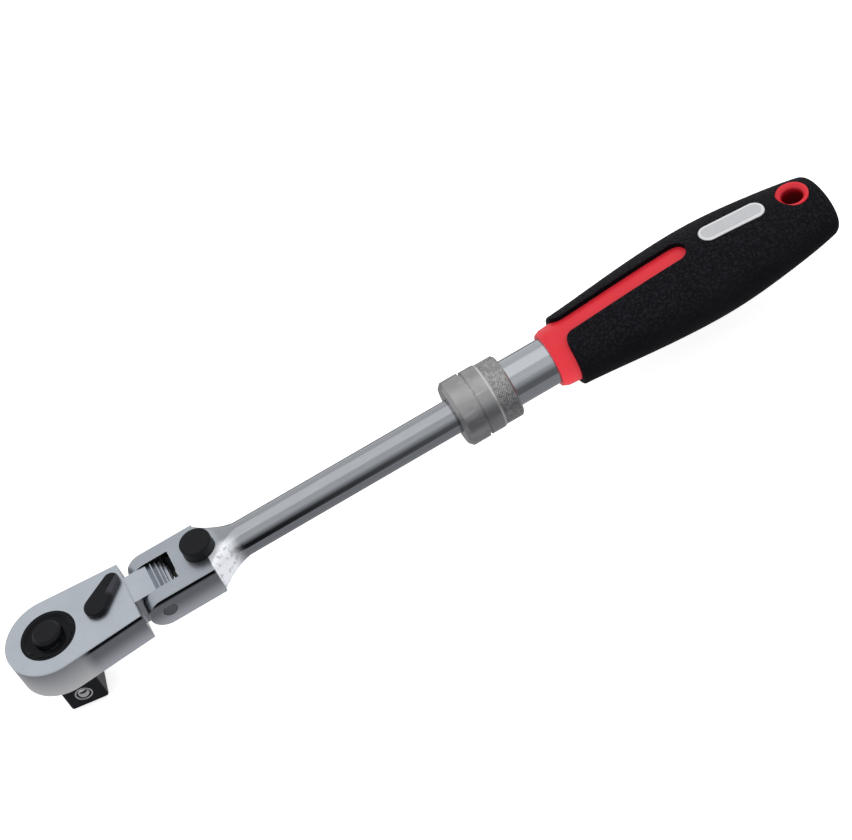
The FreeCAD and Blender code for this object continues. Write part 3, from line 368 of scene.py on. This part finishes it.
def grained_rubber(name):
    """The soft black overmould: a fine leather-like grain, with painted light on what faces up, speckled by
    the grain.
    """
    paint = Paint(name)
    pebble = paint.pebbles(0.75 * MM, (1.5, 1, 1))
    fine = paint.noise(0.22 * MM, 4.0)
    cloud = paint.noise(14 * MM, 2.0)
    shade = paint.mix(cloud, (0.002, 0.002, 0.003), (0.006, 0.006, 0.008))
    upward = paint.spread(paint.facing[2], -0.1, 0.95)
    speckle = paint.spread(paint.noise(0.8 * MM, 3.0, rough=0.7), 0.46, 0.62)
    # painted light: paler on faces turned up, speckled by the grain
    painted_top_light_and_grain = paint.product(paint.blend(upward, 0.12, 1.0), paint.blend(speckle, 0.15, 1.0))
    shade = paint.mix(painted_top_light_and_grain, shade, (0.017, 0.017, 0.021))
    paint.emboss(paint.math("MULTIPLY_ADD", fine, 0.5, pebble), 0.3 * MM, 1.0)
    rough = paint.spread(pebble, 0.1, 0.7, 0.62, 0.5)
    return paint.done(Base_Color=shade, Roughness=rough, Specular_IOR_Level=0.03)


def red_moulding(name, bore_top=None):
    """Glossy red plastic with the faint orange peel of a moulding, with painted shade down a bore that has
    a top.
    """
    paint = Paint(name)
    peel = paint.noise(1.6 * MM, 2.0)
    cloud = paint.noise(12 * MM, 2.0)
    shade = paint.mix(cloud, (0.71, 0.023, 0.037), (0.80, 0.033, 0.05))
    if bore_top:
        height = paint.absolute(paint.z)
        # painted shade: darker red at the bore's mouth, nearly black deeper down
        funnel = paint.spread(height, bore_top + 0.6 * MM, bore_top)
        wall = paint.spread(height, bore_top, bore_top - 2.5 * MM)
        shade = paint.mix(funnel, shade, (0.5, 0.013, 0.026))
        shade = paint.mix(wall, shade, (0.16, 0.001, 0.004))
    paint.emboss(peel, 0.02 * MM, 0.35)
    rough = paint.spread(peel, 0.3, 0.7, 0.3, 0.4)
    return paint.done(Base_Color=shade, Roughness=rough, Specular_IOR_Level=0.25)


def rubber(name):
    """Plain dull rubber, for the seal and the bumper."""
    paint = Paint(name)
    grain = paint.noise(0.3 * MM, 3.0)
    shade = paint.mix(grain, (0.008, 0.008, 0.008), (0.02, 0.02, 0.02))
    paint.emboss(grain, 0.02 * MM, 0.5)
    return paint.done(Base_Color=shade, Roughness=paint.spread(grain, 0.3, 0.7, 0.5, 0.7))


def plate_finish(name):
    """The blank plate, a slot shape: a bright raised rim round a duller, faintly mottled field."""
    low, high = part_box("name_plate")
    half_wide = (high.y - low.y) / 2
    middle = (low.x + high.x) / 2
    reach = (high.x - low.x) / 2 - half_wide
    paint = Paint(name)
    out = paint.absolute(paint.math("SUBTRACT", paint.x, middle))
    out = paint.math("MAXIMUM", paint.math("SUBTRACT", out, reach), 0.0)
    squared = paint.math("MULTIPLY_ADD", out, out, paint.product(paint.y, paint.y))
    away = paint.math("SQRT", squared)
    rim = paint.spread(away, half_wide - 1.15 * MM, half_wide - 0.85 * MM)
    mottle = paint.noise(0.9 * MM, 3.0)
    field = paint.mix(mottle, (0.46, 0.47, 0.49), (0.62, 0.63, 0.65))
    shade = paint.mix(rim, field, (0.74, 0.745, 0.76))
    paint.emboss(paint.math("MULTIPLY_ADD", mottle, 0.2, rim), 0.15 * MM, 0.8)
    return paint.done(Base_Color=shade, Metallic=0.35, Roughness=paint.spread(mottle, 0.3, 0.7, 0.4, 0.5))


# ---- dressing the CAD nodes ----

HEAD_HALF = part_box("head_housing")[1].z
YOKE_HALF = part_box("hinge_pin")[1].z + 3.7 * MM
HEAD_SIDE = 8 * MM, 28.3 * MM
YOKE_SIDE = 25 * MM, 54.4 * MM
NECK_END = 61 * MM
# the fork slot's box, where painted shade goes
FORK_SLOT = (YOKE_SIDE[0], 44.2 * MM), (0.0, 5.95 * MM), (0.0, YOKE_HALF - 0.3 * MM)
# where the collar's painted highlight stripe runs
HIGHLIGHT_GROOVE = 156.6 * MM
COLLAR_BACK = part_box("lock_collar")[1].x
LEVER_PIVOT = 17.6 * MM
LEVER_ANGLE = math.radians(40)
BORE_TOP = 9.5 * MM

wear(forged("satin_head", HEAD_HALF, HEAD_SIDE), "head_housing", "cover_plate")
wear(forged("satin_yoke", YOKE_HALF, YOKE_SIDE, neck=NECK_END, recess=FORK_SLOT, dull=0.84), "yoke_bar")
wear(plain_steel("pin_steel", (0.13, 0.135, 0.145), (0.2, 0.205, 0.215), 0.2, 0.3), "hinge_pin")
wear(polished("bright_chrome"), "outer_tube", "lock_sleeve")
wear(turned_steel("turned_collar", HIGHLIGHT_GROOVE, COLLAR_BACK), "lock_collar", "collar_end_ring")
wear(black_steel("black_drive", 0.14, 0.24, 0.09), "drive_gear")
wear(black_steel("black_button", 0.34, 0.46, 0.14), "release_button", "lock_button")
wear(black_steel("black_lever", 0.22, 0.32, 0.14, highlight_ridge=(LEVER_PIVOT, LEVER_ANGLE)), "reversing_lever")
wear(
    plain_steel("machined_steel", (0.36, 0.36, 0.37), (0.5, 0.5, 0.51), 0.22, 0.34),
    "release_pin", "reversing_pawl", "lock_plunger", "bar_stop_ring", "bar_stop_screw",
    "cover_screws", "tube_plug", "tube_pin", "spring_clip",
)
wear(
    plain_steel("bearing_steel", (0.6, 0.6, 0.62), (0.7, 0.7, 0.72), 0.1, 0.16),
    "socket_ball", "lever_detent_ball", "lock_ball_near", "lock_ball_far",
)
spring_steel = plain_steel("spring_steel", (0.3, 0.3, 0.32), (0.4, 0.4, 0.42), 0.24, 0.34)
wear(spring_steel, "lever_detent_spring", "release_spring", "lock_spring", "collar_spring")
wear(rubber("seal_rubber"), "hub_seal", "end_bumper")
wear(grained_rubber("grained_grip"), "handle_grip")
wear(red_moulding("red_core"), "handle_core")
wear(red_moulding("red_eyelet", bore_top=BORE_TOP), "hanging_eyelet")
wear(plate_finish("blank_plate"), "name_plate")

# ---- small visual pieces ----


def mesh_piece(name, corners, faces, material, rides):
    mesh = bpy.data.meshes.new(name)
    mesh.from_pydata(corners, [], faces)
    mesh.update()
    for face in mesh.polygons:
        face.use_smooth = True
    made = bpy.data.objects.new(name, mesh)
    bpy.context.scene.collection.objects.link(made)
    mesh.materials.append(material)
    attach(made, rides)
    return made


def turned_ring(name, centre, outward, profile, material, rides, steps=48):
    """A closed ring turned about an axis; the profile is (radius, distance out) corners."""
    side = outward.cross(Vector((0, 0, 1))).normalized()
    other = outward.cross(side)
    corners = []
    for step in range(steps):
        angle = math.tau * step / steps
        spoke = math.cos(angle) * side + math.sin(angle) * other
        corners += [centre + radius * spoke + out * outward for radius, out in profile]
    count = len(profile)
    faces = []
    for step in range(steps):
        here, after = step * count, (step + 1) % steps * count
        for low in range(count):
            high = (low + 1) % count
            faces.append((here + low, after + low, after + high, here + high))
    return mesh_piece(name, corners, faces, material, rides)


def wound_wire(name, node, wire_r, turns, material, rides, steps=24, sides=8):
    """An upright coil in the place of a CAD spring, which it replaces."""
    low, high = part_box(node)
    middle = (low + high) / 2
    mean_r = (high.x - low.x) / 2 - wire_r
    foot, rise = low.z + wire_r, high.z - low.z - 2 * wire_r
    rings = steps * turns
    corners = []
    for ring in range(rings + 1):
        angle = math.tau * ring / steps
        height = foot + rise * ring / rings
        for side in range(sides):
            turn = math.tau * side / sides
            reach = mean_r + wire_r * math.cos(turn)
            out = Vector((reach * math.cos(angle), reach * math.sin(angle), 0))
            corners.append(Vector((middle.x, middle.y, height + wire_r * math.sin(turn))) + out)
    faces = [tuple(range(sides)), tuple(reversed(range(rings * sides, (rings + 1) * sides)))]
    for ring in range(rings):
        here, after = ring * sides, (ring + 1) * sides
        for side in range(sides):
            beside = (side + 1) % sides
            faces.append((here + side, after + side, after + beside, here + beside))
    made = mesh_piece(name, corners, faces, material, rides)
    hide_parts(node)
    return made


SQUARE_TURN = math.radians(-10)
SQUARE_HALF = 6.35 * MM
BALL_HEIGHT = -18.6 * MM
BALL_FACE = Vector((math.sin(SQUARE_TURN), -math.cos(SQUARE_TURN), 0))
BALL_PLACE = BALL_FACE * SQUARE_HALF + Vector((0, 0, BALL_HEIGHT))
STAKE = [(2.3 * MM, -0.3 * MM), (2.95 * MM, -0.3 * MM), (2.85 * MM, 0.1 * MM), (2.4 * MM, 0.12 * MM)]
stake_steel = plain_steel("stake_steel", (0.55, 0.55, 0.57), (0.68, 0.68, 0.7), 0.16, 0.24)
turned_ring("ball_stake_ring", BALL_PLACE, BALL_FACE, STAKE, stake_steel, "drive")

RELEASE_WIRE = 0.3 * MM
RELEASE_TURNS = 4
release_coil = wound_wire(
    "release_coil", "release_spring", RELEASE_WIRE, RELEASE_TURNS, spring_steel, "drive",
)
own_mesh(release_coil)

# ---- studio ----


def stage_plane(name, corners, material):
    mesh = bpy.data.meshes.new(name)
    mesh.from_pydata(corners, [], [tuple(range(len(corners)))])
    made = bpy.data.objects.new(name, mesh)
    bpy.context.scene.collection.objects.link(made)
    mesh.materials.append(material)
    return made


def card(name, corners, material):
    """A plane that only reflections see."""
    made = stage_plane(name, corners, material)
    made.visible_camera = False
    made.visible_diffuse = False
    made.visible_shadow = False
    return made


FLOOR = CAD_BOX[0].z - 0.2 * MM
SKY = 0.88


def make_floor():
    paint = Paint("pale_floor")
    cloud = paint.noise(300 * MM, 2.0)
    shade = paint.mix(cloud, (0.86, 0.86, 0.86), (0.88, 0.88, 0.88))
    paint.done(Base_Color=shade, Roughness=0.9, Specular_IOR_Level=0.1)
    paint.done(Emission_Color=(1, 1, 1), Emission_Strength=0.65)
    far = 6.0
    corners = [(-far, -far, FLOOR), (far, -far, FLOOR), (far, far, FLOOR), (-far, far, FLOOR)]
    stage_plane("floor", corners, paint.material)


def plain_glow(name, level):
    """An even emitter, very slightly blue."""
    paint = Paint(name)
    paint.shine((level, level, level * 1.03), 1.0)
    return paint.material


def horizon_glow(name):
    """A card that is nearly black low down by the head, and brightens upwards and towards the handle."""
    paint = Paint(name)
    low = paint.spread(paint.x, 75 * MM, 165 * MM, 0.02, 0.21, smooth=False)
    rise = paint.spread(paint.z, 3 * MM, 42 * MM, smooth=False)
    level = paint.blend(rise, low, SKY)
    paint.shine((0.97, 0.98, 1.0), level)
    return paint.material


def make_cards():
    """A grey card on the floor, and one at the near horizon that darkens towards the floor."""
    low, high = -0.25, 0.6
    near, far, top = -0.056, 0.5, 0.042
    above = FLOOR + 0.5 * MM
    card("grey_card", [(low, near, above), (high, near, above), (high, far, above), (low, far, above)],
         plain_glow("grey_glow", 0.4))
    card("horizon_card", [(low, near, above), (high, near, above), (high, near, top), (low, near, top)],
         horizon_glow("horizon_glow"))


def make_world():
    world = bpy.data.worlds.new("studio")
    bpy.context.scene.world = world
    world.use_nodes = True
    sky = world.node_tree.nodes["Background"].inputs
    sky["Color"].default_value = (1, 1, 1, 1)
    sky["Strength"].default_value = SKY


def area_light(name, place, aim, size, power):
    data = bpy.data.lights.new(name, "AREA")
    data.shape = "RECTANGLE"
    data.size, data.size_y = size
    data.energy = power
    made = bpy.data.objects.new(name, data)
    made.location = place
    made.rotation_mode = "QUATERNION"
    made.rotation_quaternion = (Vector(aim) - Vector(place)).to_track_quat("-Z", "Y")
    bpy.context.scene.collection.objects.link(made)
    return made


CAMERA_PLACE = 0.07830, -0.43230, 0.46035


def make_camera():
    """The camera looks steeply down from the near side, rolled so that the bar rises to the right."""
    azimuth, elevation, roll = (math.radians(a) for a in (-7.46, 46.26, 24.67))
    back = Vector((
        math.sin(azimuth) * math.cos(elevation),
        -math.cos(azimuth) * math.cos(elevation),
        math.sin(elevation),
    ))
    right = Vector((math.cos(azimuth), math.sin(azimuth), 0))
    down = (-back).cross(right)
    across = math.cos(roll) * right + math.sin(roll) * down
    upward = math.sin(roll) * right - math.cos(roll) * down
    data = bpy.data.cameras.new("camera")
    data.sensor_width = 36
    data.lens = 84.55
    data.clip_start, data.clip_end = 0.01, 50
    made = bpy.data.objects.new("camera", data)
    turn = Matrix((across, upward, back)).transposed().to_4x4()
    made.matrix_world = Matrix.Translation(CAMERA_PLACE) @ turn
    bpy.context.scene.collection.objects.link(made)
    bpy.context.scene.camera = made


make_floor()
make_cards()
make_world()
area_light("overhead", (0.12, 0.1, 0.9), (0.12, 0, 0), (1.4, 0.9), 1.6)
make_camera()
bpy.context.scene.view_settings.view_transform = "Standard"
